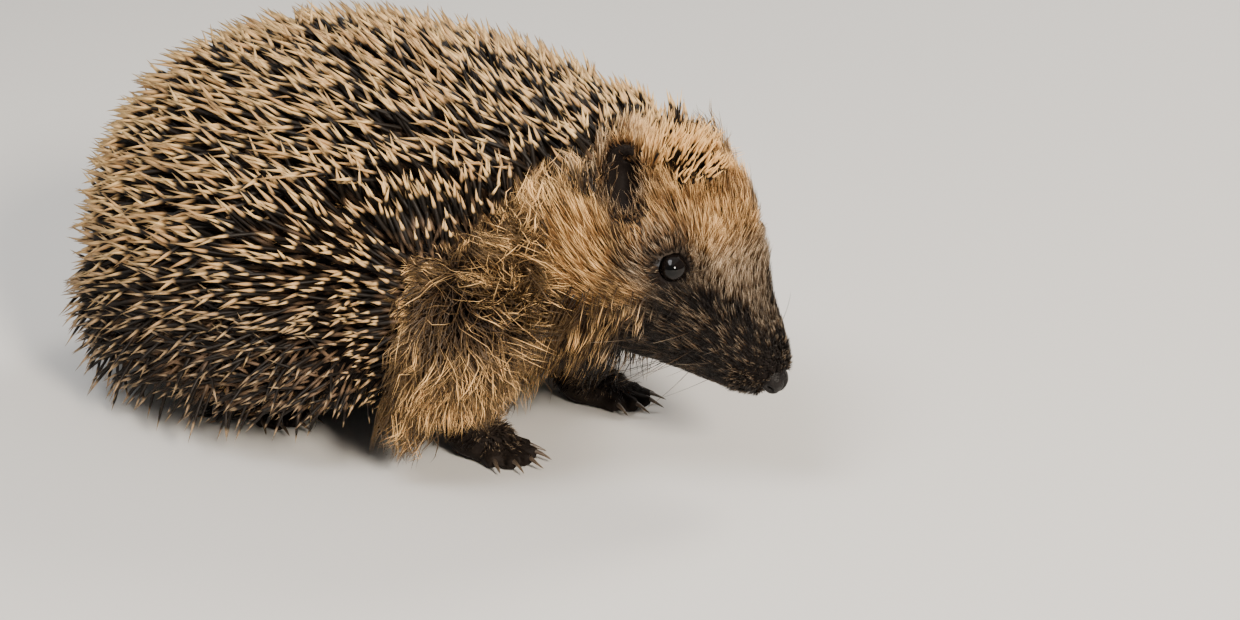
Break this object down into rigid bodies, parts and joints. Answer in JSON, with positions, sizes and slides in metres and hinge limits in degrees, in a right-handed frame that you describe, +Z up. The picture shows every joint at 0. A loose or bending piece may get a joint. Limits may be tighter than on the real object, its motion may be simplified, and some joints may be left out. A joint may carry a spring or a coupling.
{
  "type": "hedgehog",
  "caption": "European hedgehog standing low on all fours with its snout lowered to sniff, spined back, furred face, shoulders and belly, clawed feet.",
  "frame": {"origin": "on the floor under the middle of the bounding box, with the soles at z = 0", "axes": "+X from the rump towards the head, +Y to the animal's left, +Z up"},
  "size_m": [0.1828, 0.116, 0.0887],
  "materials": {
    "spines": "hard dark spines with cream tips, satin",
    "fur": "coarse tan hair over dark brown roots",
    "face": "short dense hair, dark round the eye and muzzle",
    "skin": "thin dark skin with fine wrinkles",
    "nose": "moist black, grained",
    "eye": "wet black, glossy",
    "claw": "brown horn, satin"
  },
  "bodies": {
    "root": {"trunk": "spines", "neck": "fur", "head": "face", "lower_jaw": "face", "belly": "fur", "nose": "nose", "eye_left": "eye", "eye_right": "eye", "ear_left": "skin", "ear_right": "skin", "tail": "skin", "fore_leg_left": "fur", "fore_paw_left": "skin", "fore_leg_right": "fur", "fore_paw_right": "skin", "hind_leg_left": "fur", "hind_paw_left": "skin", "hind_leg_right": "fur", "hind_paw_right": "skin", "claw_fore_left_1": "claw", "claw_fore_left_2": "claw", "claw_fore_left_3": "claw", "claw_fore_left_4": "claw", "claw_fore_left_5": "claw", "claw_fore_right_1": "claw", "claw_fore_right_2": "claw", "claw_fore_right_3": "claw", "claw_fore_right_4": "claw", "claw_fore_right_5": "claw", "claw_hind_left_1": "claw", "claw_hind_left_2": "claw", "claw_hind_left_3": "claw", "claw_hind_left_4": "claw", "claw_hind_left_5": "claw", "claw_hind_right_1": "claw", "claw_hind_right_2": "claw", "claw_hind_right_3": "claw", "claw_hind_right_4": "claw", "claw_hind_right_5": "claw"}
  },
  "joints": []
}
